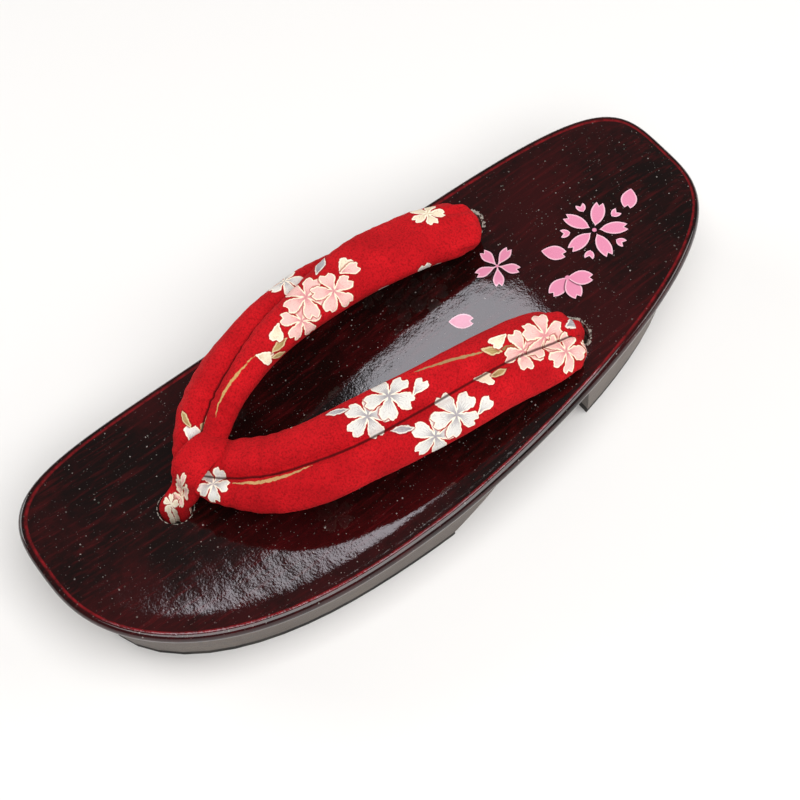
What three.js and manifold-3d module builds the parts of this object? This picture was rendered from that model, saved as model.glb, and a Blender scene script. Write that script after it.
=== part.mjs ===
// A left geta sandal: a lacquered top board glued to a curved wooden base, two rubber soles, and a
// padded V strap held at the front by a loop.
//
// Millimetres. +Z is up and the floor is Z = 0. +Y runs from the toe to the heel. The wearer's big toe
// side, the inner side, is towards -X and the outer side towards +X.

import * as THREE from 'three';
import { mergeVertices } from 'three/addons/utils/BufferGeometryUtils.js';
import Module from 'manifold-3d';

const wasm = await Module();
wasm.setup();

// ---- driving sizes ---------------------------------------------------------------------------------

const GAP = 0.3; // between pieces that touch
const THROUGH = 140; // width of a cutter that goes right through the sandal from side to side

// Outline of the top board's upper edge, symmetric before the foot's curve bends it.
const TOE_Y = -120.5;
const HEEL_Y = 119;
const WIDEST_Y = -15;
const HALF_WIDTH = 44.8;
const TOE_POWER = 2.9; // a squarish, blunt toe
const HEEL_TAPER = 1.3; // how soon the sides close in towards the heel
const HEEL_POWER = 3.75; // how blunt the heel's end is

// Both curves are polynomials in y / REACH.
const REACH = 94.9;
const MID_HEIGHT = 34; // floor to the board's top at y = 0
const RISE = [11.4, 3.4, -6.1, -1.1]; // height gained at REACH by the powers 1 to 4
const SWEEP = [0, 5, -0.3, 1.94]; // sideways shift at REACH by the powers 1 to 4, towards the inner side

const BOARD = 5.5; // thickness of the top board, with a fully rounded edge
const SOLE = 3; // thickness of the rubber
const SOLE_INSET = 0.5; // rubber edge inside the foot of the base

// Side walls of the base: how far inside the board's edge line, from the top down.
const WALL = [
  // level (1 top, 0 bottom), inset all round, extra inset at the toe and heel tips
  { level: 0, inset: 3.6, tips: 1.6 },
  { level: 0.3, inset: 2.6, tips: 0.8 },
  { level: 0.65, inset: 1.5, tips: 0.2 },
  { level: 1, inset: 0.6, tips: 0 },
];

// The arch under the foot, cut right through from side to side.
const ARCH = {
  toeFoot: -10, // back of the front block at the floor
  toeTop: 8, // where its slope meets the underside
  heelTop: 46,
  heelFoot: 51, // front of the heel block
  bridge: 8, // wood left under the board
  corner: 5, // radius at the top corners
};

const REAR_HOLE_RADIUS = 5.2;
const FRONT_HOLE_RADIUS = 5.6;
const HOLE_DEPTH = 11; // below the top of the board
const HOLES = [
  { x: -9.1, y: -79, radius: FRONT_HOLE_RADIUS },
  { x: -28.4, y: 50, radius: REAR_HOLE_RADIUS },
  { x: 24.5, y: 50, radius: REAR_HOLE_RADIUS },
];
const [FRONT_HOLE, INNER_HOLE, OUTER_HOLE] = HOLES;

// Padded strap: one row for each section. lift is the height of its middle above the board, lean how
// far the outer edge drops in degrees, groove the place of the top seam from -1 (inner edge) to 1.
const INNER_ARM = [
  { y: -68, x: -12.9, lift: 11.4, width: 12.4, thick: 9.6, lean: 8, groove: -0.2 },
  { y: -62, x: -17.6, lift: 13, width: 17.6, thick: 11.2, lean: 20, groove: -0.22 },
  { y: -55, x: -22.9, lift: 15, width: 21.8, thick: 12.4, lean: 27, groove: -0.3 },
  { y: -45, x: -27, lift: 17.8, width: 23, thick: 13.2, lean: 28, groove: -0.32 },
  { y: -30, x: -30.2, lift: 19.8, width: 22.8, thick: 13.6, lean: 26, groove: -0.04 },
  { y: -12, x: -31.8, lift: 19, width: 23.2, thick: 13.6, lean: 22, groove: 0.35 },
  { y: 8, x: -31.6, lift: 16.2, width: 23.4, thick: 13.6, lean: 18, groove: 0.85 },
  { y: 27, x: -29.6, lift: 12.2, width: 23.4, thick: 13.2, lean: 15, groove: 0.95 },
  { y: 40, x: -27, lift: 8.8, width: 22.8, thick: 12.6, lean: 12, groove: 0.95 },
  { y: 45, x: -25.6, lift: 7.5, width: 19.6, thick: 11.6, lean: 10, groove: 0.95 },
];
const OUTER_ARM = [
  { y: -68, x: -10.8, lift: 11.4, width: 14.5, thick: 9.6, lean: 4, groove: 0.5 },
  { y: -62, x: -3.2, lift: 13, width: 20.4, thick: 11.4, lean: 8, groove: 0.35 },
  { y: -53, x: 6.9, lift: 15.8, width: 24, thick: 12.6, lean: 14, groove: 0.12 },
  { y: -42, x: 13.8, lift: 19, width: 24.8, thick: 13.2, lean: 18, groove: 0.02 },
  { y: -27, x: 18.2, lift: 21.3, width: 24.8, thick: 13.6, lean: 20, groove: 0.1 },
  { y: -10, x: 21.8, lift: 21.2, width: 24.8, thick: 13.6, lean: 23, groove: 0.02 },
  { y: 8, x: 23.9, lift: 18.6, width: 24.6, thick: 13.6, lean: 25, groove: -0.04 },
  { y: 24, x: 25, lift: 14.6, width: 24.2, thick: 13.2, lean: 24, groove: -0.04 },
  { y: 37, x: 26.4, lift: 9.9, width: 23.4, thick: 12.6, lean: 20, groove: 0 },
  { y: 43, x: 27.4, lift: 7.7, width: 19.8, thick: 11.6, lean: 13, groove: 0 },
];
const GROOVE_DEPTH = 2.2;
const GROOVE_WIDTH = 0.2; // of half the strap's width
const ARM_DOME = 6.5; // length of an arm's rounded end
const END_CLEARANCE = 3; // left under the cords' ends at the bottom of their holes

// The strap's ends where they go down the rear holes, as heights of the path's middle.
const NECK = {
  radius: 3.6,
  drop: 0.5, // start of the path, below the arm's last row
  bend: 4.6, // above the board, where it turns down
  mouth: 1.5, // above the board, over the hole
};

// Front loop: a flat band that rings the bend of the V, and two legs down the front hole.
const LOOP = {
  x: -10.4,
  y: -65.4,
  lift: 11.6,
  turn: -10, // degrees, its plane turned from the sandal's length towards the inner side
  reach: 8.4, // from its middle forward and back to the band's own middle
  rise: 7.4, // the same, up and down
  thick: 3.6,
  topWidth: 11.5,
  backWidth: 9,
  widestPastTop: 0.35, // radians from the top towards the front, where the band is widest
  outerFace: 0.72, // its outer face's share of its width, so the band looks rounded
};
const LEG = {
  spread: 2.4, // from the hole's middle to each leg's
  width: 4.4,
  thick: 5,
  turn: 50, // degrees, of the pair in the hole
  knee: 6.5, // above the board, where a leg leaves the band
  mouth: 1.2, // above the board, over the hole
};

// ---- helpers ---------------------------------------------------------------------------------------

const powers = (terms, y) => terms.reduce((sum, term, i) => sum + term * (y / REACH) ** (i + 1), 0);
const sweep = (y) => -powers(SWEEP, y);
const boardTop = (y) => MID_HEIGHT + powers(RISE, y);

// A closed solid through rings of points listed from the start to the end, each ring running
// anticlockwise as seen from the end. The ends are closed across between mirrored points.
function skin(rings) {
  const count = rings[0].length;
  const positions = rings.flat().flatMap((point) => point.toArray());
  const index = [];
  const at = (ring, j) => ring * count + ((j + count) % count);
  for (let ring = 0; ring + 1 < rings.length; ring++) {
    for (let j = 0; j < count; j++) {
      index.push(at(ring, j), at(ring, j + 1), at(ring + 1, j + 1));
      index.push(at(ring, j), at(ring + 1, j + 1), at(ring + 1, j));
    }
  }
  const last = rings.length - 1;
  for (let j = 0; j < count / 2; j++) {
    const strip = [j, j + 1, -j - 1, -j];
    for (const [a, b, c] of [[0, 1, 2], [0, 2, 3]]) {
      const corners = [strip[a], strip[b], strip[c]].map((k) => (k + count) % count);
      if (new Set(corners).size < 3) continue;
      index.push(...corners.map((k) => at(last, k)));
      index.push(...corners.reverse().map((k) => at(0, k)));
    }
  }
  const geometry = new THREE.BufferGeometry();
  geometry.setAttribute('position', new THREE.Float32BufferAttribute(positions, 3));
  geometry.setIndex(index);
  return geometry;
}

function toSolid(geometry) {
  const bare = geometry.clone();
  bare.deleteAttribute('normal');
  bare.deleteAttribute('uv');
  const merged = mergeVertices(bare, 1e-4);
  return new wasm.Manifold(new wasm.Mesh({
    numProp: 3,
    vertProperties: new Float32Array(merged.attributes.position.array),
    triVerts: new Uint32Array(merged.index.array),
  }));
}

function toGeometry(solid) {
  const mesh = solid.getMesh();
  const geometry = new THREE.BufferGeometry();
  geometry.setAttribute('position', new THREE.BufferAttribute(mesh.vertProperties, 3));
  geometry.setIndex(new THREE.BufferAttribute(mesh.triVerts, 1));
  geometry.computeVertexNormals();
  return geometry;
}

const joined = (solids) => solids.reduce((whole, solid) => whole.add(solid));

function largestBody(solid) {
  const bodies = solid.decompose();
  return bodies.reduce((best, body) => (body.volume() > best.volume() ? body : best));
}

// ---- outline of the wood ---------------------------------------------------------------------------

const SIDE_STEPS = 36; // along each side, from the toe tip to the heel tip

// One side of the edge line, straightened: half width against y, evenly spaced, with its normals.
const SIDE = (() => {
  const points = [];
  const quarter = 60;
  for (let i = 0; i < quarter; i++) {
    const angle = (1 - i / quarter) * (Math.PI / 2);
    const along = Math.sin(angle) ** (2 / TOE_POWER);
    const across = i ? Math.cos(angle) ** (2 / TOE_POWER) : 0;
    points.push(new THREE.Vector2(HALF_WIDTH * across, WIDEST_Y + (TOE_Y - WIDEST_Y) * along));
  }
  for (let i = 0; i <= quarter; i++) {
    const angle = (i / quarter) * (Math.PI / 2);
    const along = Math.sin(angle) ** (2 / HEEL_TAPER);
    const across = i < quarter ? Math.cos(angle) ** (2 / HEEL_POWER) : 0;
    points.push(new THREE.Vector2(HALF_WIDTH * across, WIDEST_Y + (HEEL_Y - WIDEST_Y) * along));
  }
  const curve = new THREE.SplineCurve(points);
  curve.arcLengthDivisions = 1200;
  return Array.from({ length: SIDE_STEPS + 1 }, (_, i) => {
    const u = i / SIDE_STEPS;
    const point = curve.getPointAt(u);
    const tangent = curve.getTangentAt(u);
    const tip = i === 0 || i === SIDE_STEPS;
    return tip
      ? { point: new THREE.Vector2(0, point.y), normal: new THREE.Vector2(0, Math.sign(point.y)) }
      : { point, normal: new THREE.Vector2(tangent.y, -tangent.x) };
  });
})();

// A ring parallel to the edge line: outset and height may both depend on y.
function woodRing(outset, height) {
  const right = SIDE.map(({ point, normal }) => {
    const out = outset(point.y);
    return [point.x + normal.x * out, point.y + normal.y * out];
  });
  const left = right.slice(1, -1).reverse().map(([w, y]) => [-w, y]);
  return [...right, ...left].map(([w, y]) => new THREE.Vector3(w + sweep(y), y, height(y)));
}

const tipness = (y) => ((y - (TOE_Y + HEEL_Y) / 2) / ((HEEL_Y - TOE_Y) / 2)) ** 4;

// ---- wooden and rubber pieces ----------------------------------------------------------------------

function holeCutter({ x, y, radius }) {
  const height = HOLE_DEPTH + 10;
  const cutter = new THREE.CylinderGeometry(radius, radius, height, 28);
  cutter.rotateX(Math.PI / 2);
  cutter.translate(x, y, boardTop(y) - HOLE_DEPTH + height / 2);
  return toSolid(cutter);
}

function makeDeck() {
  const radius = BOARD / 2;
  const rings = [-90, -60, -30, 0, 30, 60, 90].map((degrees) => {
    const angle = THREE.MathUtils.degToRad(degrees);
    return woodRing(
      () => radius * Math.cos(angle),
      (y) => boardTop(y) - radius + radius * Math.sin(angle),
    );
  });
  return HOLES.reduce((board, hole) => board.subtract(holeCutter(hole)), toSolid(skin(rings)));
}

function archCutter() {
  const { toeFoot, toeTop, heelTop, heelFoot, bridge, corner } = ARCH;
  const under = (y) => boardTop(y) - BOARD - bridge;
  const profile = new THREE.Shape();
  profile.moveTo(toeFoot - 1, -2);
  profile.lineTo(toeFoot, SOLE);
  profile.lineTo(toeTop - corner, under(toeTop) - corner * 1.4);
  profile.quadraticCurveTo(toeTop, under(toeTop), toeTop + corner, under(toeTop + corner));
  profile.lineTo(heelTop - corner, under(heelTop - corner));
  profile.quadraticCurveTo(heelTop + 1, under(heelTop), heelTop + 2, under(heelTop) - corner);
  profile.lineTo(heelFoot, SOLE);
  profile.lineTo(heelFoot + 0.4, -2);
  const settings = { depth: THROUGH, bevelEnabled: false, curveSegments: 5 };
  const cutter = new THREE.ExtrudeGeometry(profile, settings);
  const [alongY, alongZ, alongX] = [[0, 1, 0], [0, 0, 1], [1, 0, 0]].map((v) => new THREE.Vector3(...v));
  cutter.applyMatrix4(new THREE.Matrix4().makeBasis(alongY, alongZ, alongX));
  cutter.translate(-THROUGH / 2, 0, 0);
  return toSolid(cutter);
}

function makeBase() {
  const bottom = SOLE + GAP;
  const top = (y) => boardTop(y) - BOARD - GAP;
  const rings = WALL.map(({ level, inset, tips }) => woodRing(
    (y) => -inset - tips * tipness(y),
    (y) => bottom + level * (top(y) - bottom),
  ));
  const block = toSolid(skin(rings)).subtract(archCutter());
  return HOLES.reduce((base, hole) => base.subtract(holeCutter(hole)), block);
}

function makeSole(fromY, toY) {
  const foot = WALL[0];
  const outset = (y) => -foot.inset - SOLE_INSET - foot.tips * tipness(y);
  const sheet = toSolid(skin([woodRing(outset, () => 0), woodRing(outset, () => SOLE)]));
  const window = new THREE.BoxGeometry(THROUGH, toY - fromY, 4 * SOLE);
  window.translate(0, (fromY + toY) / 2, 0);
  return sheet.intersect(toSolid(window));
}

// ---- strap and loop --------------------------------------------------------------------------------

const ARM_STEPS = 26;
const SECTION_POINTS = 22;
const COLUMNS = ['y', 'x', 'lift', 'width', 'thick', 'lean', 'groove'];

// A table's columns at a fraction of the way along it, on a smooth curve through its rows.
function rowAt(rows, fraction) {
  const place = fraction * (rows.length - 1);
  const i = Math.min(Math.floor(place), rows.length - 2);
  const t = place - i;
  const row = {};
  for (const column of COLUMNS) {
    const [a, b, c, d] = [i - 1, i, i + 1, i + 2].map(
      (k) => rows[Math.min(Math.max(k, 0), rows.length - 1)][column],
    );
    row[column] = b + 0.5 * t * (c - a + t * (2 * a - 5 * b + 4 * c - d + t * (3 * (b - c) + d - a)));
  }
  return row;
}

const rowCentre = ({ x, y, lift }) => new THREE.Vector3(x, y, boardTop(y) + lift);

// Right-handed axes for a section that looks along tangent: across points to the outer side.
function sectionAxes(tangent, lean) {
  const across = new THREE.Vector3().crossVectors(tangent, new THREE.Vector3(0, 0, 1)).normalize();
  const up = new THREE.Vector3().crossVectors(across, tangent).normalize();
  across.applyAxisAngle(tangent, lean);
  up.applyAxisAngle(tangent, lean);
  return { across, up };
}

// An oval section with the seam's groove pressed into its upper half.
function strapSection(centre, tangent, row, outer, scale, grow) {
  const side = outer ? 1 : -1;
  const { across, up } = sectionAxes(tangent, THREE.MathUtils.degToRad(row.lean) * side);
  const half = (row.width / 2) * scale + grow;
  const rise = (row.thick / 2) * scale + grow;
  return Array.from({ length: SECTION_POINTS }, (_, i) => {
    const angle = (i / SECTION_POINTS) * 2 * Math.PI;
    const u = Math.cos(angle);
    const seam = Math.exp(-(((u * side - row.groove) / GROOVE_WIDTH) ** 2));
    const dip = Math.sin(angle) > 0 ? GROOVE_DEPTH * scale * seam * Math.sin(angle) : 0;
    return centre.clone()
      .addScaledVector(across, half * u)
      .addScaledVector(up, rise * Math.sin(angle) - dip);
  });
}

function makeArm(rows, outer, grow) {
  const stations = Array.from({ length: ARM_STEPS + 1 }, (_, i) => rowAt(rows, i / ARM_STEPS));
  const centres = stations.map(rowCentre);
  const tangents = centres.map((_, i) => {
    const before = centres[Math.max(i - 1, 0)];
    const after = centres[Math.min(i + 1, ARM_STEPS)];
    return after.clone().sub(before).normalize();
  });
  const rings = [];
  const dome = [80, 55, 30];
  const addDome = (i, sign) => (degrees) => {
    const angle = THREE.MathUtils.degToRad(degrees);
    const centre = centres[i].clone().addScaledVector(tangents[i], sign * ARM_DOME * Math.sin(angle));
    rings.push(strapSection(centre, tangents[i], stations[i], outer, Math.cos(angle), grow));
  };
  dome.forEach(addDome(0, -1));
  stations.forEach((row, i) => rings.push(strapSection(centres[i], tangents[i], row, outer, 1, grow)));
  dome.toReversed().forEach(addDome(ARM_STEPS, 1));
  // Seen from the end of the arm the section runs clockwise, so the rings are listed the other way.
  return toSolid(skin(rings.reverse()));
}

// A round rod along a smooth path, for the strap's ends and the loop's legs.
function makeRod(points, width, thick, grow = 0) {
  const curve = new THREE.CatmullRomCurve3(points);
  const outline = new THREE.Shape();
  outline.absellipse(0, 0, thick / 2 + grow, width / 2 + grow, 0, 2 * Math.PI);
  return toSolid(new THREE.ExtrudeGeometry(outline, { extrudePath: curve, steps: 12, curveSegments: 7 }));
}

function makeNeck(arm, hole, grow) {
  const end = arm[arm.length - 1];
  const place = (x, y, lift) => new THREE.Vector3(x, y, boardTop(hole.y) + lift);
  return makeRod([
    place((end.x * 3 + hole.x) / 4, (end.y * 3 + hole.y) / 4, end.lift - NECK.drop),
    place((end.x + 3 * hole.x) / 4, (end.y + 3 * hole.y) / 4, NECK.bend),
    place(hole.x, hole.y, NECK.mouth),
    place(hole.x, hole.y, END_CLEARANCE - HOLE_DEPTH),
  ], NECK.radius * 2, NECK.radius * 2, grow);
}

function makeStrap(grow = 0) {
  return joined([
    makeArm(INNER_ARM, false, grow),
    makeArm(OUTER_ARM, true, grow),
    makeNeck(INNER_ARM, INNER_HOLE, grow),
    makeNeck(OUTER_ARM, OUTER_HOLE, grow),
  ]);
}

function loopPoint(forward, lift, aside = 0) {
  const turn = THREE.MathUtils.degToRad(LOOP.turn);
  const back = -forward;
  return new THREE.Vector3(
    LOOP.x + back * Math.sin(turn) + aside * Math.cos(turn),
    LOOP.y + back * Math.cos(turn) - aside * Math.sin(turn),
    boardTop(LOOP.y) + lift,
  );
}

function makeBand() {
  const steps = 28;
  const corner = [[1, -1], [1, 1], [-1, 1], [-1, -1]];
  const positions = [];
  const index = [];
  for (let i = 0; i < steps; i++) {
    const angle = (i / steps) * 2 * Math.PI; // 0 at the back, a quarter turn at the top
    const wide = (1 + Math.sin(angle - LOOP.widestPastTop)) / 2;
    const halfWidth = (LOOP.backWidth + (LOOP.topWidth - LOOP.backWidth) * wide) / 2;
    for (const [aside, out] of corner) {
      const edge = out > 0 ? LOOP.outerFace : 1;
      const reach = LOOP.reach + (out * LOOP.thick) / 2;
      const rise = LOOP.rise + (out * LOOP.thick) / 2;
      const point = loopPoint(
        -reach * Math.cos(angle), LOOP.lift + rise * Math.sin(angle), aside * halfWidth * edge);
      positions.push(...point.toArray());
    }
    for (let k = 0; k < corner.length; k++) {
      const [a, b] = [k, (k + 1) % corner.length];
      const next = ((i + 1) % steps) * corner.length;
      const here = i * corner.length;
      index.push(here + a, here + b, next + b, here + a, next + b, next + a);
    }
  }
  const geometry = new THREE.BufferGeometry();
  geometry.setAttribute('position', new THREE.Float32BufferAttribute(positions, 3));
  geometry.setIndex(index);
  return toSolid(geometry);
}

function makeLeg(side) {
  const turn = THREE.MathUtils.degToRad(LEG.turn);
  const inHole = (lift) => new THREE.Vector3(
    FRONT_HOLE.x + side * LEG.spread * Math.cos(turn),
    FRONT_HOLE.y + side * LEG.spread * Math.sin(turn),
    boardTop(FRONT_HOLE.y) + lift,
  );
  return makeRod([
    loopPoint(LOOP.reach - 1.5, LOOP.lift + 1, side * LEG.spread * 1.4),
    loopPoint(LOOP.reach + 1, LEG.knee, side * LEG.spread * 1.1),
    inHole(LEG.mouth),
    inHole(END_CLEARANCE - HOLE_DEPTH),
  ], LEG.width, LEG.thick);
}

function makeLoop() {
  const whole = joined([makeBand(), makeLeg(-1), makeLeg(1)]);
  return largestBody(whole.subtract(makeStrap(GAP)));
}

// ---- the sandal ------------------------------------------------------------------------------------

const LACQUER = { color: 0x2a0c0e, roughness: 0.12, metalness: 0 };
const WOOD = { color: 0x6f635c, roughness: 0.6, metalness: 0 };
const RUBBER = { color: 0x242120, roughness: 0.8, metalness: 0 };
const CLOTH = { color: 0xc92128, roughness: 0.9, metalness: 0 };

const sandal = new THREE.Group();

function addPiece(name, solid, finish) {
  const mesh = new THREE.Mesh(toGeometry(solid), new THREE.MeshStandardMaterial(finish));
  mesh.name = name;
  sandal.add(mesh);
}

addPiece('deck', makeDeck(), LACQUER);
addPiece('base', makeBase(), WOOD);
addPiece('front_sole', makeSole(TOE_Y - 10, ARCH.toeFoot), RUBBER);
addPiece('heel_sole', makeSole(ARCH.heelFoot, HEEL_Y + 10), RUBBER);
addPiece('strap', makeStrap(), CLOTH);
addPiece('front_loop', makeLoop(), CLOTH);

// The origin is the middle of the sandal's box, on the floor.
const box = new THREE.Box3().setFromObject(sandal);
const middle = box.getCenter(new THREE.Vector3());
sandal.position.set(-middle.x, -middle.y, -box.min.z);

export default sandal;
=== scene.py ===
"""A left geta sandal on a pale floor.

The board is its outline extruded level by level in edit mode, with a rounded edge, and cut for the strap's
holes. The base and rubber soles are the CAD parts' meshes, merged. The padded strap is a cloth piece made in
mesh code from its own table of sections, and its front loop is made in mesh code from its own sizes and cut
clear of the strap.
Sizes are millimetres until a vertex is placed. +Y runs from the toe to the heel, the wearer's big toe
side is towards -X, and the floor is Z = 0.
"""

import bisect
import math

import bmesh
import bpy
from mathutils import Matrix, Vector, noise


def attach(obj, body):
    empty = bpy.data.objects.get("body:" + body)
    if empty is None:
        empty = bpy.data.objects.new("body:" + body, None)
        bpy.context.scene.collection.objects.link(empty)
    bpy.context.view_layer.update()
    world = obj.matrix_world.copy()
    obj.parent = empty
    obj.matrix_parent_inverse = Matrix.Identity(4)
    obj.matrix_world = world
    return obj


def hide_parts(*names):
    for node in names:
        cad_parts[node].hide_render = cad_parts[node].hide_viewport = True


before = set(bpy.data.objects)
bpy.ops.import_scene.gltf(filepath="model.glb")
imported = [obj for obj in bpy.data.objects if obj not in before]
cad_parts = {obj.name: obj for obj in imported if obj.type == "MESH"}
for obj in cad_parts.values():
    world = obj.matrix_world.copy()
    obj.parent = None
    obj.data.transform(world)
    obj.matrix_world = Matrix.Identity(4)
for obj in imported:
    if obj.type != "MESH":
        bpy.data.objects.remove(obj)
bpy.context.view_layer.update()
bpy.ops.object.select_all(action="DESELECT")

MM = 0.001
ORIGIN = Vector((0.61, 0.75, 0))  # added to every place below, so the sandal's box is centred

# ---- sizes -----------------------------------------------------------------------------------------

TOE_Y, HEEL_Y, WIDEST_Y = -120.5, 119, -15
HALF_WIDTH = 44.8
TOE_POWER, HEEL_TAPER, HEEL_POWER = 2.9, 1.3, 3.75

REACH = 94.9
MID_HEIGHT = 34
RISE = (11.4, 3.4, -6.1, -1.1)
SWEEP = (0, 5, -0.3, 1.94)

BOARD = 5.5
HOLES = (  # x, y, radius
    (-9.1, -79, 5.6),
    (-28.4, 50, 5.2),
    (24.5, 50, 5.2),
)
HOLE_DEPTH = 11

SECTION_COLUMNS = ("y", "x", "lift", "width", "thick", "lean", "groove")
INNER_ARM = (
    (-68, -12.9, 11.4, 12.4, 9.6, 8, -0.2),
    (-62, -17.6, 13, 17.6, 11.2, 20, -0.22),
    (-55, -22.9, 15, 21.8, 12.4, 27, -0.3),
    (-45, -27, 17.8, 23, 13.2, 28, -0.32),
    (-30, -30.2, 19.8, 22.8, 13.6, 26, -0.04),
    (-12, -31.8, 19, 23.2, 13.6, 22, 0.35),
    (8, -31.6, 16.2, 23.4, 13.6, 18, 0.85),
    (27, -29.6, 12.2, 23.4, 13.2, 15, 0.95),
    (40, -27, 8.8, 22.8, 12.6, 12, 0.95),
    (45, -25.6, 7.5, 19.6, 11.6, 10, 0.95),
)
OUTER_ARM = (
    (-68, -10.8, 11.4, 14.5, 9.6, 4, 0.5),
    (-62, -3.2, 13, 20.4, 11.4, 8, 0.35),
    (-53, 6.9, 15.8, 24, 12.6, 14, 0.12),
    (-42, 13.8, 19, 24.8, 13.2, 18, 0.02),
    (-27, 18.2, 21.3, 24.8, 13.6, 20, 0.1),
    (-10, 21.8, 21.2, 24.8, 13.6, 23, 0.02),
    (8, 23.9, 18.6, 24.6, 13.6, 25, -0.04),
    (24, 25, 14.6, 24.2, 13.2, 24, -0.04),
    (37, 26.4, 9.9, 23.4, 12.6, 20, 0),
    (43, 27.4, 7.7, 19.8, 11.6, 13, 0),
)
ARM_DOME = 6.5
NECK_RADIUS = 3.6
CLOTH_MAP = 160  # millimetres of cloth across the strap's UV map
CLOTH_START = 10  # how far along that map an arm starts
ARM_TOPS = (38, 118)  # round the cloth, the middle of the top of the inner and outer arm
STITCH_PITCH, CREASE_PITCH, PLEAT_PITCH = 4.3, 5.6, 5.2


def powers(terms, y):
    return sum(term * (y / REACH) ** (i + 1) for i, term in enumerate(terms))


def board_top(y):
    return MID_HEIGHT + powers(RISE, y)


def sweep(y):
    return -powers(SWEEP, y)


# ---- outline of the wood ---------------------------------------------------------------------------

OUTLINE_POINTS = 260


def half_outline(quarter=400):
    """The board's right edge from the toe's tip to the heel's tip, straightened."""
    points = []
    for i in range(quarter):
        angle = (1 - i / quarter) * math.pi / 2
        along = math.sin(angle) ** (2 / TOE_POWER)
        across = math.cos(angle) ** (2 / TOE_POWER) if i else 0
        points.append(Vector((HALF_WIDTH * across, WIDEST_Y + (TOE_Y - WIDEST_Y) * along)))
    for i in range(quarter + 1):
        angle = (i / quarter) * math.pi / 2
        along = math.sin(angle) ** (2 / HEEL_TAPER)
        across = math.cos(angle) ** (2 / HEEL_POWER) if i < quarter else 0
        points.append(Vector((HALF_WIDTH * across, WIDEST_Y + (HEEL_Y - WIDEST_Y) * along)))
    return points


def outline_ring():
    """Evenly spaced places and outward normals all round the board's edge, straightened."""
    points = half_outline()
    lengths = [0]
    for a, b in zip(points, points[1:]):
        lengths.append(lengths[-1] + (b - a).length)
    right = []
    k = 0
    steps = OUTLINE_POINTS // 2
    for i in range(steps + 1):
        target = lengths[-1] * i / steps
        while k < len(points) - 2 and lengths[k + 1] < target:
            k += 1
        t = (target - lengths[k]) / (lengths[k + 1] - lengths[k])
        place = points[k].lerp(points[k + 1], t)
        along = points[min(k + 3, len(points) - 1)] - points[max(k - 2, 0)]
        normal = Vector((along.y, -along.x)).normalized()
        if i in (0, steps):
            place.x, normal = 0, Vector((0, -1 if i == 0 else 1))
        right.append((place, normal))
    left = [(Vector((-p.x, p.y)), Vector((-n.x, n.y))) for p, n in right[-2:0:-1]]
    return right + left


RING = outline_ring()


def edge_place(i, outset, height):
    """Where point i of the outline stands, moved out by outset, at height(y)."""
    place, normal = RING[i]
    x, y = place.x + normal.x * outset, place.y + normal.y * outset
    return (Vector((x + sweep(y), y, height(y))) + ORIGIN) * MM


# ---- modelling helpers -----------------------------------------------------------------------------


def edit(obj):
    bpy.ops.object.select_all(action="DESELECT")
    obj.select_set(True)
    bpy.context.view_layer.objects.active = obj
    bpy.ops.object.mode_set(mode="EDIT")
    return bmesh.from_edit_mesh(obj.data)


def done(obj, name=None, smooth=35):
    bpy.ops.object.mode_set(mode="OBJECT")
    if name:
        obj.name = obj.data.name = name
    if smooth:
        bpy.ops.object.shade_smooth_by_angle(angle=math.radians(smooth))
    bpy.ops.object.select_all(action="DESELECT")
    return obj


def finish_modifier(obj, kind, **settings):
    modifier = obj.modifiers.new(kind.lower(), kind)
    for key, value in settings.items():
        setattr(modifier, key, value)
    bpy.ops.object.select_all(action="DESELECT")
    obj.select_set(True)
    bpy.context.view_layer.objects.active = obj
    bpy.ops.object.modifier_apply(modifier=modifier.name)
    obj.select_set(False)


def cut(obj, tool, operation="DIFFERENCE"):
    finish_modifier(obj, "BOOLEAN", object=tool, operation=operation, solver="EXACT")
    bpy.data.objects.remove(tool)


def spot_of(vert):
    return tuple(round(c, 7) for c in vert.co)


def outline_solid(name, levels):
    """A disc with the board's outline, extruded level by level.

    A level is (outset, height at y, rim): rim is how far it lies inside the top's edge, over the surface.
    """
    bpy.ops.mesh.primitive_circle_add(vertices=OUTLINE_POINTS, radius=0.1, fill_type="NGON")
    obj = bpy.context.object
    mesh = edit(obj)
    # The circle and the outline both run anticlockwise.
    order = sorted(mesh.verts, key=lambda v: v.index)
    rims = {}
    for level, (outset, height, rim) in enumerate(levels):
        if level:
            bpy.ops.mesh.extrude_region_move()
            mesh = bmesh.from_edit_mesh(obj.data)
            order = [None] * OUTLINE_POINTS
            for vert in mesh.verts:
                if vert.select:
                    order[spots[spot_of(vert)]] = vert
        spots = {}
        for i, vert in enumerate(order):
            vert.co = edge_place(i, outset, height)
            spots[spot_of(vert)] = i
            rims[spot_of(vert)] = rim
        bmesh.update_edit_mesh(obj.data)
    layer = mesh.loops.layers.uv.new("rim")
    for face in mesh.faces:
        for loop in face.loops:
            loop[layer].uv = (rims[spot_of(loop.vert)], 0)
    bmesh.update_edit_mesh(obj.data)
    bpy.ops.mesh.select_all(action="SELECT")
    bpy.ops.mesh.normals_make_consistent(inside=False)
    return done(obj, name)


def hole_tools(name):
    """The three pegs that cut the strap's holes, as one object."""
    pegs = []
    for x, y, radius in HOLES:
        tall = (HOLE_DEPTH + 10) * MM
        centre = (Vector((x, y, board_top(y) - HOLE_DEPTH)) + ORIGIN) * MM + Vector((0, 0, tall / 2))
        bpy.ops.mesh.primitive_cylinder_add(
            vertices=64, radius=radius * MM, depth=tall, location=centre
        )
        pegs.append(bpy.context.object)
    for peg in pegs:
        peg.select_set(True)
    bpy.ops.object.join()
    bpy.ops.object.transform_apply()
    tool = bpy.context.object
    tool.name = name
    tool.select_set(False)
    return tool


# ---- lacquered board -------------------------------------------------------------------------------


CROWN = 0.5  # how far the top falls away at its edge
CROWN_WIDTH = 7


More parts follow.
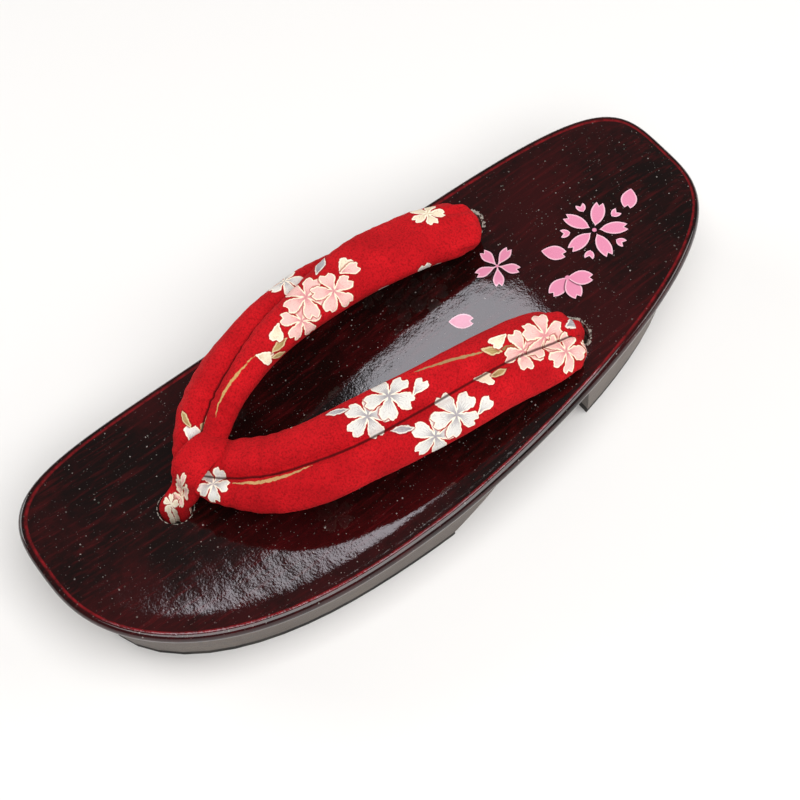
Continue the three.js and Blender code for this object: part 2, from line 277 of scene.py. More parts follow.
def make_board():
    radius = BOARD / 2
    levels = []
    for degrees in range(-90, 76, 15):
        angle = math.radians(degrees)
        fall = radius - radius * math.sin(angle)
        levels.append((
            radius * math.cos(angle),
            lambda y, fall=fall: board_top(y) - max(fall, CROWN),
            -radius * (math.pi / 2 - angle),
        ))
    for inside in (0, 1, 2, 3.5, 5, CROWN_WIDTH):
        fall = CROWN * (1 - inside / CROWN_WIDTH) ** 2
        levels.append((-inside, lambda y, fall=fall: board_top(y) - fall, inside))
    board = outline_solid("board", levels)
    # Cuts across every 3 mm let the flat faces bend along the foot.
    edit(board)
    for y in range(-120, 121, 3):
        bpy.ops.mesh.select_all(action="SELECT")
        bpy.ops.mesh.bisect(plane_co=(0, (y + ORIGIN.y) * MM, 0), plane_no=(0, 1, 0))
    done(board)
    cut(board, hole_tools("board_pegs"))
    edit(board)
    return done(board, smooth=40)


# ---- base and soles --------------------------------------------------------------------------------


def copy_of(node, name, smooth=30):
    """A CAD node's mesh as a new piece, its loose triangles merged."""
    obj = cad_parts[node].copy()
    obj.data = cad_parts[node].data.copy()
    obj.name = obj.data.name = name
    for key in [k for k in obj.keys() if k.startswith("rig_")]:
        del obj[key]
    obj.parent = None
    obj.matrix_world = Matrix.Identity(4)
    bpy.context.scene.collection.objects.link(obj)
    obj.hide_render = obj.hide_viewport = False
    obj.data.materials.clear()
    edit(obj)
    bpy.ops.mesh.select_all(action="SELECT")
    bpy.ops.mesh.remove_doubles(threshold=0.00001)
    bpy.ops.mesh.dissolve_limited(angle_limit=math.radians(0.3))
    return done(obj, smooth=smooth)


# ---- padded strap ----------------------------------------------------------------------------------


def row_at(rows, fraction):
    """The section at a fraction of the way along an arm, on a smooth curve through its rows."""
    place = fraction * (len(rows) - 1)
    i = min(int(place), len(rows) - 2)
    t = place - i
    row = {}
    for column, key in enumerate(SECTION_COLUMNS):
        a, b, c, d = (
            rows[min(max(k, 0), len(rows) - 1)][column] for k in (i - 1, i, i + 1, i + 2)
        )
        row[key] = b + 0.5 * t * (
            c - a + t * (2 * a - 5 * b + 4 * c - d + t * (3 * (b - c) + d - a))
        )
    return row


def smoothstep(low, high, value):
    t = min(max((value - low) / (high - low), 0), 1)
    return t * t * (3 - 2 * t)


def cloth_relief(along, length, from_seam, around, arm):
    """How far the padded cloth stands in or out, in mm, at one place on an arm."""
    out = -1.5 * math.exp(-((from_seam / 0.8) ** 2)) - 2.1 * math.exp(-((from_seam / 3.1) ** 2))
    out += 0.55 * math.exp(-(((abs(from_seam) - 6.5) / 3.4) ** 2))
    # Gathers pulled by the stitches, across the strap.
    jitter = noise.noise(Vector((along * 0.09, around * 0.05, arm * 7.3)))
    pull = math.exp(-abs(from_seam) / 4.2)
    out += 0.2 * pull * math.sin(along * 2 * math.pi / STITCH_PITCH + 6 * jitter)
    # Creases at the bend of the V.
    bend = 1 - smoothstep(8, 46, along)
    crease = math.sin(along * 2 * math.pi / CREASE_PITCH + 3.2 * jitter + around * 0.11)
    out += 0.34 * bend * (0.5 + 0.5 * math.exp(-abs(from_seam) / 8)) * crease
    # Pleats where the cloth is drawn into the rear hole.
    drawn = smoothstep(length - 13, length, along)
    out += 0.45 * drawn * math.sin(around * 2 * math.pi / PLEAT_PITCH + 2 * jitter)
    # Uneven padding.
    out += 0.38 * noise.noise(Vector((along * 0.075, around * 0.085, 3.1 + arm)))
    out += 0.13 * noise.noise(Vector((along * 0.31, around * 0.27, 9.4 + arm)))
    return out


def skin(name, rings, maps, closed=False):
    """A mesh through rings of places, with a UV for every place. Open ends are closed by a fan."""
    mesh = bpy.data.meshes.new(name)
    obj = bpy.data.objects.new(name, mesh)
    bpy.context.scene.collection.objects.link(obj)
    count = len(rings[0])
    build = bmesh.new()
    uv = build.loops.layers.uv.new("cloth")
    seam_uv = build.loops.layers.uv.new("seam")
    grid = [[build.verts.new((p + ORIGIN) * MM) for p in ring] for ring in rings]

    def face(corners):
        made = build.faces.new([grid[r][j % count] for r, j in corners])
        for loop, (r, j) in zip(made.loops, corners):
            loop[uv].uv = maps[r][j][:2]
            loop[seam_uv].uv = (maps[r][j][2], 0)
        made.smooth = True

    for r in range(len(rings) if closed else len(rings) - 1):
        after = (r + 1) % len(rings)
        for j in range(count):
            face(((r, j), (r, j + 1), (after, j + 1), (after, j)))
    if not closed:
        for r in (0, len(rings) - 1):
            centre = build.verts.new(sum((v.co for v in grid[r]), Vector()) / count)
            middle = sum((Vector(m) for m in maps[r][:count]), Vector((0, 0, 0))) / count
            for j in range(count):
                made = build.faces.new((grid[r][(j + 1) % count], grid[r][j], centre))
                for loop, spot in zip(made.loops, (maps[r][j + 1], maps[r][j], middle)):
                    loop[uv].uv = spot[:2]
                    loop[seam_uv].uv = (spot[2], 0)
                made.smooth = True
    bmesh.ops.recalc_face_normals(build, faces=build.faces)
    build.to_mesh(mesh)
    build.free()
    return obj


ARM_STEPS = 150
AROUND = 72


def make_arm(name, rows, side, arm):
    """One padded arm of the strap. side is 1 where the outer edge is towards +X."""
    stations = [row_at(rows, i / ARM_STEPS) for i in range(ARM_STEPS + 1)]
    centres = [Vector((s["x"], s["y"], board_top(s["y"]) + s["lift"])) for s in stations]
    tangents = [
        (centres[min(i + 1, ARM_STEPS)] - centres[max(i - 1, 0)]).normalized()
        for i in range(ARM_STEPS + 1)
    ]
    dome = [math.radians(degrees) for degrees in (84, 74, 62, 50, 38, 25, 12)]
    sections = [(0, -ARM_DOME * math.sin(angle), math.cos(angle)) for angle in dome]
    sections += [(i, 0, 1) for i in range(ARM_STEPS + 1)]
    sections += [(ARM_STEPS, ARM_DOME * math.sin(angle), math.cos(angle)) for angle in reversed(dome)]
    travel = [0]
    for a, b in zip(centres, centres[1:]):
        travel.append(travel[-1] + (b - a).length)
    length = travel[-1]
    rings, maps = [], []
    for i, shift, scale in sections:
        row, tangent = stations[i], tangents[i]
        across = tangent.cross(Vector((0, 0, 1))).normalized()
        up = across.cross(tangent).normalized()
        lean = Matrix.Rotation(math.radians(row["lean"]) * side, 3, tangent)
        across, up = lean @ across, lean @ up
        half, rise = row["width"] / 2 * scale, row["thick"] / 2 * scale
        angles = [math.radians(-90 + 360 * j / AROUND) for j in range(AROUND + 1)]
        spots = [(half * math.cos(a), rise * math.sin(a)) for a in angles]
        around = [0]
        for (x0, y0), (x1, y1) in zip(spots, spots[1:]):
            around.append(around[-1] + math.hypot(x1 - x0, y1 - y0))
        full = around[-1]
        around = [full / 2 - a for a in around]  # 0 at the top, + towards +X
        seam_angle = math.acos(row["groove"] * side)
        seam_at = (seam_angle + math.pi / 2) / (2 * math.pi) * AROUND
        k = int(seam_at)
        seam = around[k] + (around[k + 1] - around[k]) * (seam_at - k)
        along = travel[i] + shift
        ring, ring_map = [], []
        for j, angle in enumerate(angles):
            normal = across * (math.cos(angle) / half) + up * (math.sin(angle) / rise)
            normal.normalize()
            top = smoothstep(-0.35, 0.25, math.sin(angle))
            relief = cloth_relief(along, length, around[j] - seam, around[j], arm)
            place = centres[i] + tangent * shift + across * spots[j][0] + up * spots[j][1]
            place += normal * relief * scale * (0.25 + 0.75 * top)
            ring.append(place)
            ring_map.append((
                (along + CLOTH_START) / CLOTH_MAP, (around[j] + ARM_TOPS[arm]) / CLOTH_MAP, around[j] - seam
            ))
        rings.append(ring[:-1])
        maps.append(ring_map)
    return skin(name, rings, maps)


def curve_points(points, steps):
    """Places on a smooth curve through the given points."""
    out = []
    for i in range(len(points) - 1):
        a, b, c, d = (points[min(max(k, 0), len(points) - 1)] for k in (i - 1, i, i + 1, i + 2))
        for s in range(steps):
            t = s / steps
            out.append(b + (c - a + (2 * a - 5 * b + 4 * c - d + (3 * (b - c) + d - a) * t) * t) * (0.5 * t))
    return out + [points[-1]]


def make_rod(name, points, width, thick, sides=32, steps=10, pleats=0.0, lane=0.0):
    """A soft rod of oval section along a smooth path."""
    path = curve_points(points, steps)
    rings, maps = [], []
    along = 0
    for i, place in enumerate(path):
        before, after = path[max(i - 1, 0)], path[min(i + 1, len(path) - 1)]
        tangent = (after - before).normalized()
        across = Vector((1, 0, 0))
        across = (across - tangent * across.dot(tangent)).normalized()
        up = across.cross(tangent)
        if i:
            along += (place - path[i - 1]).length
        ring, ring_map = [], []
        for j in range(sides + 1):
            angle = 2 * math.pi * j / sides
            grow = 1 + pleats * math.sin(angle * 7 + along * 0.3)
            ring.append(place + (across * width * math.cos(angle) + up * thick * math.sin(angle)) * grow / 2)
            ring_map.append(((along + lane) / CLOTH_MAP, (j / sides * 12 + 148) / CLOTH_MAP, 20))
        rings.append(ring[:-1])
        maps.append(ring_map)
    return skin(name, rings, maps)


def make_neck(name, rows, hole, lane):
    end = dict(zip(SECTION_COLUMNS, rows[-1]))
    x, y, _ = hole

    def place(px, py, lift):
        return Vector((px, py, board_top(y) + lift))

    return make_rod(name, [
        place((end["x"] * 3 + x) / 4, (end["y"] * 3 + y) / 4, end["lift"] - 0.5),
        place((end["x"] + 3 * x) / 4, (end["y"] + 3 * y) / 4, 4.6),
        place(x, y, 1.5),
        place(x, y, -HOLE_DEPTH + 3),
    ], NECK_RADIUS * 2, NECK_RADIUS * 2, pleats=0.05, lane=lane)


def make_strap():
    strap = make_arm("padded_strap", INNER_ARM, -1, 0)
    cut(strap, make_arm("outer_arm", OUTER_ARM, 1, 1), "UNION")
    cut(strap, make_neck("inner_neck", INNER_ARM, HOLES[1], 5), "UNION")
    cut(strap, make_neck("outer_neck", OUTER_ARM, HOLES[2], 45), "UNION")
    for polygon in strap.data.polygons:
        polygon.use_smooth = True
    return strap


# ---- front loop ------------------------------------------------------------------------------------

LOOP = {
    "x": -10.4,
    "y": -65.4,
    "lift": 11.6,
    "turn": -10,
    "reach": 8.4,
    "rise": 7.4,
    "thick": 3.6,
    "top_width": 11.5,
    "back_width": 9,
}
LOOP_VOXEL = 0.45
LEG = {"spread": 2.4, "width": 4.4, "thick": 5, "turn": 50}


def loop_place(forward, lift, aside=0):
    turn = math.radians(LOOP["turn"])
    return Vector((
        LOOP["x"] - forward * math.sin(turn) + aside * math.cos(turn),
        LOOP["y"] - forward * math.cos(turn) - aside * math.sin(turn),
        board_top(LOOP["y"]) + lift,
    ))


def make_loop(strap):
    rings, maps = [], []
    steps, sides = 72, 28
    for i in range(steps):
        angle = i / steps * 2 * math.pi
        wide = (1 + math.sin(angle - 0.35)) / 2
        half = (LOOP["back_width"] + (LOOP["top_width"] - LOOP["back_width"]) * wide) / 2
        ring = []
        for j in range(sides):
            turn = 2 * math.pi * j / sides
            aside = math.copysign(abs(math.cos(turn)) ** 0.8, math.cos(turn)) * half
            out = math.sin(turn) * LOOP["thick"] / 2
            out += 0.35 * math.sin(aside * 1.1) * max(math.sin(turn), 0) * 0.6
            reach, rise = LOOP["reach"] + out, LOOP["rise"] + out
            ring.append(loop_place(-reach * math.cos(angle), LOOP["lift"] + rise * math.sin(angle), aside))
        rings.append(ring)
        maps.append([(0.9, 0.9, 20)] * (sides + 1))
    loop = skin("front_loop_cloth", rings, maps, closed=True)
    x, y, _ = HOLES[0]
    turn = math.radians(LEG["turn"])
    for side in (-1, 1):
        foot = Vector((
            x + side * LEG["spread"] * math.cos(turn),
            y + side * LEG["spread"] * math.sin(turn),
            board_top(y),
        ))
        leg = make_rod("leg", [
            loop_place(LOOP["reach"] - 1.5, LOOP["lift"] + 1, side * LEG["spread"] * 1.4),
            loop_place(LOOP["reach"] + 1, 6.5, side * LEG["spread"] * 1.1),
            foot + Vector((0, 0, 1.2)),
            foot + Vector((0, 0, 3 - HOLE_DEPTH)),
        ], LEG["width"], LEG["thick"])
        cut(loop, leg, "UNION")
    finish_modifier(loop, "REMESH", mode="VOXEL", voxel_size=LOOP_VOXEL * MM, use_smooth_shade=True)
    finish_modifier(loop, "SMOOTH", factor=0.5, iterations=4)
    keep = strap.copy()
    keep.data = strap.data.copy()
    bpy.context.scene.collection.objects.link(keep)
    cut(loop, keep)
    for polygon in loop.data.polygons:
        polygon.use_smooth = True
    return loop


# ---- materials -------------------------------------------------------------------------------------


def linear(code):
    """An sRGB hex colour as linear RGBA."""
    channels = [int(code[i:i + 2], 16) / 255 for i in (1, 3, 5)]
    return [c / 12.92 if c <= 0.04045 else ((c + 0.055) / 1.055) ** 2.4 for c in channels] + [1]


def add(tree, kind, *values, inputs=None, **settings):
    """Adds a node. A value is a number, a colour, or a node or socket to link; None is left alone."""
    node = tree.nodes.new("ShaderNode" + kind)
    for key, value in settings.items():
        setattr(node, key, value)
    for socket, value in (dict(enumerate(values)) | (inputs or {})).items():
        if isinstance(value, bpy.types.Node):
            tree.links.new(value.outputs[0], node.inputs[socket])
        elif isinstance(value, bpy.types.NodeSocket):
            tree.links.new(value, node.inputs[socket])
        elif value is not None:
            node.inputs[socket].default_value = value
    return node


def new_material(name, **values):
    """A material, its tree, its shader with constants set, and the object's own place in mm."""
    material = bpy.data.materials.new(name)
    material.use_nodes = True
    tree = material.node_tree
    surface = tree.nodes["Principled BSDF"]
    for socket, value in values.items():
        surface.inputs[socket.replace("_", " ")].default_value = value
    spot = add(tree, "TexCoord").outputs["Object"]
    mm = add(tree, "VectorMath", spot, inputs={"Scale": 1 / MM}, operation="SCALE")
    return material, tree, surface, mm


def new_group(name, sockets, result):
    tree = bpy.data.node_groups.new(name, "ShaderNodeTree")
    for socket, kind in sockets:
        tree.interface.new_socket(name=socket, in_out="INPUT", socket_type="NodeSocket" + kind)
    tree.interface.new_socket(name=result, in_out="OUTPUT", socket_type="NodeSocketColor")
    return tree, tree.nodes.new("NodeGroupInput").outputs, tree.nodes.new("NodeGroupOutput").inputs[0]


SHAPE_SOCKETS = (
    ("Under", "Color"), ("Place", "Vector"), ("Centre", "Vector"), ("Length", "Float"), ("Turn", "Float"),
    ("Heart", "Color"), ("Ink", "Color"), ("Rim", "Color"), ("Halo", "Color"),
)


def petal_group(name, widths, notch, petals=1, lobes=1.0):
    """A node group that prints one petal, or several round a centre, over the colour underneath.

    widths is the petal's half width along its length, notch where its tip is cut in, both as shares of
    the length, and lobes how steeply the tip's two lobes rise from the notch.
    """
    tree, given, result = new_group(name, SHAPE_SOCKETS, "Colour")
    away = add(tree, "VectorMath", given["Place"], given["Centre"], operation="SUBTRACT")
    parts = add(tree, "SeparateXYZ", away).outputs
    flat = add(tree, "CombineXYZ", parts[0], parts[1])
    reach = add(tree, "VectorMath", flat, operation="LENGTH").outputs["Value"]
    share = add(tree, "Math", reach, given["Length"], operation="DIVIDE")
    angle = add(tree, "Math", parts[1], parts[0], operation="ARCTAN2")
    angle = add(tree, "Math", angle, given["Turn"], operation="SUBTRACT")
    if petals > 1:
        angle = add(tree, "Math", angle, math.pi / petals, operation="PINGPONG")
    along = add(tree, "Math", share, add(tree, "Math", angle, operation="COSINE"), operation="MULTIPLY")
    across = add(tree, "Math", share, add(tree, "Math", angle, operation="SINE"), operation="MULTIPLY")
    across = add(tree, "Math", across, operation="ABSOLUTE")
    curve = add(tree, "FloatCurve", inputs={"Value": along})
    points = curve.mapping.curves[0].points
    while len(points) < len(widths):
        points.new(0.5, 0.5)
    for point, spot in zip(points, widths):
        point.location = spot
    curve.mapping.update()
    side = add(tree, "Math", curve, across, operation="SUBTRACT")
    tip = add(tree, "Math", across, lobes, notch, operation="MULTIPLY_ADD")
    tip = add(tree, "Math", tip, along, operation="SUBTRACT")
    depth = add(tree, "Math", side, tip, operation="MINIMUM")
    depth = add(tree, "Math", depth, given["Length"], operation="MULTIPLY")
    # Behind the root the petal ends.
    ahead = add(tree, "Math", along, 0.0, operation="GREATER_THAN")
    halo = add(tree, "MapRange", depth, -0.7, -0.1, 0, 0.75, interpolation_type="SMOOTHSTEP")
    halo = add(tree, "Math", halo, ahead, operation="MULTIPLY")
    colour = add(tree, "MixRGB", halo, given["Under"], given["Halo"])
    # Fine veins run out from the root and fade half way along.
    fan = add(tree, "Math", across, add(tree, "Math", along, 0.02, operation="ADD"), operation="DIVIDE")
    fan = add(tree, "Math", fan, 44.0, operation="MULTIPLY")
    vein = add(tree, "MapRange", add(tree, "Math", fan, operation="COSINE"), 0.2, 0.9, 0, 0.75)
    fade = add(tree, "MapRange", along, 0.75, 0.25, 0, 1, interpolation_type="SMOOTHSTEP")
    vein = add(tree, "Math", vein, fade, operation="MULTIPLY")
    root = add(tree, "MapRange", along, 0.5, 0.08, 0, 0.8, interpolation_type="SMOOTHSTEP")
    heart = add(tree, "Math", root, vein, operation="MAXIMUM")
    ink = add(tree, "MixRGB", heart, given["Ink"], given["Heart"])
    # The outline is 0.45 mm wide, about what a brush or a screen leaves.
    rim = add(tree, "MapRange", depth, 0.65, 0.35, 0, 1, interpolation_type="SMOOTHSTEP")
    ink = add(tree, "MixRGB", rim, ink, given["Rim"])
    shape = add(tree, "MapRange", depth, 0.0, 0.16, 0, 1, interpolation_type="SMOOTHSTEP")
    shape = add(tree, "Math", shape, ahead, operation="MULTIPLY")
    tree.links.new(add(tree, "MixRGB", shape, colour, ink).outputs[0], result)
    return tree


def stem_group():
    """A node group that prints a stroke with tapering ends from one place to another."""
    tree, given, result = new_group("stem", (
        ("Under", "Color"), ("Place", "Vector"), ("From", "Vector"), ("To", "Vector"), ("Width", "Float"),
        ("Ink", "Color"),
    ), "Colour")
    whole = add(tree, "VectorMath", given["To"], given["From"], operation="SUBTRACT")
    away = add(tree, "VectorMath", given["Place"], given["From"], operation="SUBTRACT")
    dot = add(tree, "VectorMath", away, whole, operation="DOT_PRODUCT").outputs["Value"]
    square = add(tree, "VectorMath", whole, whole, operation="DOT_PRODUCT").outputs["Value"]
    share = add(tree, "Math", dot, square, operation="DIVIDE", use_clamp=True)
    foot = add(tree, "VectorMath", whole, inputs={"Scale": share.outputs[0]}, operation="SCALE")
    gap = add(tree, "VectorMath", away, foot, operation="DISTANCE").outputs["Value"]
    swell = add(tree, "Math", share, math.pi, operation="MULTIPLY")
    swell = add(tree, "Math", add(tree, "Math", swell, operation="SINE"), 0.4, 0.12, operation="MULTIPLY_ADD")
    half = add(tree, "Math", given["Width"], swell, operation="MULTIPLY")
    edge = add(tree, "Math", half, gap, operation="SUBTRACT")
    stroke = add(tree, "MapRange", edge, -0.12, 0.1, 0, 1, interpolation_type="SMOOTHSTEP")
    tree.links.new(add(tree, "MixRGB", stroke, given["Under"], given["Ink"]).outputs[0], result)
    return tree


BOARD_PETAL = ((0, 0), (0.2, 0.19), (0.5, 0.33), (0.78, 0.29), (1, 0.13))
SHAPES = {
    # The board's petals stand apart; the cloth's blossoms are fuller and notched.
    "pressed_flower": petal_group(
        "pressed_flower", ((0, 0), (0.12, 0), (0.35, 0.15), (0.6, 0.215), (0.84, 0.175), (1, 0.09)),
        0.87, 5, 1.3,
    ),
    "pressed_small": petal_group(
        "pressed_small", ((0, 0.02), (0.16, 0.05), (0.4, 0.17), (0.64, 0.25), (0.84, 0.21), (1, 0.12)),
        0.86, 5, 1.2,
    ),
    "hearts": petal_group("hearts", ((0, 0), (0.69, 0), (0.77, 0.1), (0.9, 0.15), (1, 0.12)), 0.91, 5, 0.8),
    "pressed_petal": petal_group("pressed_petal", BOARD_PETAL, 0.88, 1, 1.1),
    "blossom": petal_group(
        "blossom", ((0, 0.1), (0.2, 0.15), (0.5, 0.3), (0.74, 0.36), (0.92, 0.27), (1, 0.15)), 0.88, 5, 0.75
    ),
    "petal": petal_group(
        "petal", ((0, 0.05), (0.2, 0.14), (0.5, 0.3), (0.75, 0.37), (0.92, 0.28), (1, 0.15)), 0.88, 1, 0.75
    ),
    "leaf": petal_group("leaf", ((0, 0.03), (0.25, 0.13), (0.5, 0.19), (0.75, 0.13), (1, 0.0)), 1.0),
}
STEM = stem_group()


def print_shapes(tree, colour, place, shapes, shift=(0, 0)):
    """Prints a table of shapes over a colour. A row is shape, x, y, length, turn in degrees, tones."""
    for shape, x, y, length, turn, tones in shapes:
        colour = add(
            tree, "Group", colour, place, (x + shift[0], y + shift[1], 0), length, math.radians(turn),
            *(linear(tone) for tone in tones), node_tree=SHAPES[shape],
        )
    return colour


def from_middle(tree, place, x, y):
    """Distance in the board's plane from a place, in mm."""
    away = add(tree, "VectorMath", place, (x + ORIGIN.x, y + ORIGIN.y, 0), operation="SUBTRACT")
    flat = add(tree, "VectorMath", away, (1, 1, 0), operation="MULTIPLY")
    return add(tree, "VectorMath", flat, operation="LENGTH").outputs["Value"]


# ---- lacquer with the board's print ----------------------------------------------------------------

TRANSFER = ("#dd86a4", "#df8caa", "#f0bccb", "#070303")  # heart, ink, rim and halo
HEEL_FLOWER = (0, 80)
SMALL_FLOWER = (-10, 48)
FALLEN_PETALS = (8, 62)  # three petals fanned round one place
PETAL = 8
BOARD_PRINT = (
    ("pressed_flower", *HEEL_FLOWER, 11, 130, TRANSFER),
    ("hearts", *HEEL_FLOWER, 11, 94, TRANSFER),
    ("pressed_small", *SMALL_FLOWER, 7.5, 110, TRANSFER),
    *(("pressed_petal", *FALLEN_PETALS, PETAL, turn, TRANSFER) for turn in (-80, -15, 50)),
    *(("pressed_petal", -5, y, PETAL, turn, TRANSFER) for y, turn in ((100, -50), (62, 40), (24, 50))),
)
FLAKES = (0.9, 3.4, 3.4)  # how far the lacquer has flaked round each hole
BOARD_DOTS = ((*HEEL_FLOWER, 0.8), (*FALLEN_PETALS, 0.9), (*SMALL_FLOWER, 0.6))  # x, y, radius


def make_lacquer():
    # Transparent brown-black lacquer over wood, brushed on: a deep gloss in which the wood shows dark
    # red, with dust caught under the last coat, and a pale pink transfer print sunk in it.
    material, tree, surface, mm = new_material(
        "clear_red_black_lacquer", Roughness=0.4, IOR=1.5, Specular_IOR_Level=0.0,
        Coat_Weight=1.0, Coat_Roughness=0.05, Coat_IOR=1.5,
    )
    # Red glows through in clouds 40 mm across, with a fine grain along the board.
    cloud = add(tree, "TexNoise", mm, inputs={"Scale": 1 / 42, "Detail": 2})
    along = add(tree, "Mapping", mm, inputs={"Scale": (1.0, 0.06, 1.0)})
    grain = add(tree, "TexNoise", along, inputs={"Scale": 0.7, "Detail": 4, "Roughness": 0.65})
    mottle = add(tree, "TexNoise", mm, inputs={"Scale": 1 / 3, "Detail": 5, "Roughness": 0.7})
    glow = add(tree, "Math", mottle, 0.35, cloud, operation="MULTIPLY_ADD")
    glow = add(tree, "MapRange", glow, 0.58, 0.86, 0, 1, interpolation_type="SMOOTHSTEP")
    colour = add(tree, "MixRGB", glow, linear("#120706"), linear("#2c090a"))
    fine = add(tree, "MapRange", grain, 0.5, 0.7, 0, 0.6)
    colour = add(tree, "MixRGB", fine, colour, linear("#460d0f"))
    # Dust specks of 0.15 to 0.4 mm, a few to each square centimetre of the coarse, dozens of the fine.
    for spacing, least, largest, strength in ((1.5, 0.3, 0.2, 0.8), (0.8, 0.15, 0.22, 0.32)):
        cells = add(tree, "TexVoronoi", mm, inputs={"Scale": 1 / spacing})
        pick = add(tree, "SeparateColor", cells.outputs["Color"]).outputs
        size = add(tree, "MapRange", pick[0], least, 1, 0, largest)
        speck = add(tree, "Math", cells.outputs["Distance"], size, operation="LESS_THAN")
        shine = add(tree, "Math", pick[2], strength, operation="MULTIPLY")
        speck = add(tree, "Math", speck, shine, operation="MULTIPLY")
        dust = add(tree, "MixRGB", pick[1], linear("#4c5248"), linear("#a59c98"))
        colour = add(tree, "MixRGB", speck, colour, dust)
    colour = print_shapes(tree, colour, mm, BOARD_PRINT, ORIGIN)
    for x, y, radius in BOARD_DOTS:
        dot = add(tree, "MapRange", from_middle(tree, mm, x, y), radius, radius - 0.2)
        colour = add(tree, "MixRGB", dot, colour, linear(TRANSFER[1]))
    # The lacquer has flaked round the strap's holes, down to grey filler, in a ragged ring.
    chips = add(tree, "TexNoise", mm, inputs={"Scale": 0.7, "Detail": 4, "Roughness": 0.7})
    for (x, y, radius), width in zip(HOLES, FLAKES):
        edge = add(tree, "Math", chips, width, radius - width / 4, operation="MULTIPLY_ADD")
        flaked = add(tree, "Math", from_middle(tree, mm, x, y), edge, operation="LESS_THAN")
        spots = add(tree, "MapRange", chips, 0.46, 0.54, 0, 0.9)
        flaked = add(tree, "Math", flaked, spots, operation="MULTIPLY")
        colour = add(tree, "MixRGB", flaked, colour, linear("#a09a90"))
    # Along the rounded edge the lacquer is thin: red shows in a line, and the side is nearly black.
    rim = add(tree, "SeparateXYZ", add(tree, "UVMap", uv_map="rim"))
    inside = add(tree, "MapRange", rim, -1.1, -0.5)
    outside = add(tree, "MapRange", rim, 0.15, -0.2)
    wear = add(tree, "MapRange", mottle, 0.35, 0.6, 0.2, 1)
    line = add(tree, "Math", inside, outside, operation="MULTIPLY")
    line = add(tree, "Math", line, wear, operation="MULTIPLY")
    colour = add(tree, "MixRGB", line, colour, linear("#7c141a"))
    tree.links.new(colour.outputs[0], surface.inputs["Base Color"])
    # Brushed lacquer has an orange-peel ripple 6 mm across and a finer grit from the dust.
    ripple = add(tree, "TexNoise", mm, inputs={"Scale": 1 / 6, "Detail": 2})
    grit = add(tree, "TexNoise", mm, inputs={"Scale": 1.4, "Detail": 2})
    height = add(tree, "Math", ripple, 0.04, operation="MULTIPLY")
    height = add(tree, "Math", grit, 0.012, height, operation="MULTIPLY_ADD")
    bump = add(tree, "Bump", inputs={"Height": height, "Strength": 1.0, "Distance": MM})
    tree.links.new(bump.outputs[0], surface.inputs["Normal"])
    tree.links.new(bump.outputs[0], surface.inputs["Coat Normal"])
    return material


def make_wood():
    # A light straight-grained wood, planed and stained: satin grey-brown with long fine grain.
    material, tree, surface, mm = new_material("stained_straight_grained_wood", IOR=1.46)
    along = add(tree, "Mapping", mm, inputs={"Scale": (1.0, 0.02, 1.0)})
    grain = add(tree, "TexNoise", along, inputs={"Scale": 0.9, "Detail": 6, "Roughness": 0.68})
    cloud = add(tree, "TexNoise", mm, inputs={"Scale": 1 / 28, "Detail": 2})
    stain = add(tree, "MapRange", grain, 0.35, 0.66)
    colour = add(tree, "MixRGB", stain, linear("#4f453f"), linear("#7d7167"))
    wear_and_shade = add(tree, "MapRange", cloud, 0.42, 0.72, 0, 0.45)
    colour = add(tree, "MixRGB", wear_and_shade, colour, linear("#4d403a"))
    tree.links.new(colour.outputs[0], surface.inputs["Base Color"])
    rough = add(tree, "MapRange", grain, 0.3, 0.7, 0.42, 0.6)
    tree.links.new(rough.outputs[0], surface.inputs["Roughness"])
    bump = add(tree, "Bump", inputs={"Height": grain, "Strength": 0.5, "Distance": 0.4 * MM})
    tree.links.new(bump.outputs[0], surface.inputs["Normal"])
    return material


def make_rubber():
    # Sheet rubber, calendered: matt black with a fine pebble, greyed by the street.
    material, tree, surface, mm = new_material("black_sheet_rubber", IOR=1.5, Roughness=0.82)
    pebble = add(tree, "TexVoronoi", mm, inputs={"Scale": 1.3}, feature="SMOOTH_F1")
    dirt = add(tree, "TexNoise", mm, inputs={"Scale": 1 / 9, "Detail": 5})
    dusty = add(tree, "MapRange", dirt, 0.42, 0.72)
    colour = add(tree, "MixRGB", dusty, linear("#221f1d"), linear("#3f3a35"))
    tree.links.new(colour.outputs[0], surface.inputs["Base Color"])
    bump = add(tree, "Bump", inputs={"Height": pebble, "Strength": 0.5, "Distance": 0.4 * MM})
    tree.links.new(bump.outputs[0], surface.inputs["Normal"])
    return material


# ---- printed crepe ---------------------------------------------------------------------------------

# Tones are heart, ink, rim and halo.
LILAC = ("#8f8790", "#e2dfd9", "#fbf2de", "#a3141b")
PINK = ("#cf7f86", "#f3c3bb", "#f9ecd2", "#a3141b")
CREAM = ("#cdb795", "#f2e3c8", "#fbf2dc", "#a3141b")
GREY = ("#7f7b83", "#b5b2b4", "#e6e0d4", "#8f1218")
TAN = ("#7c6238", "#b59a66", "#d8c294", "#8f1218")

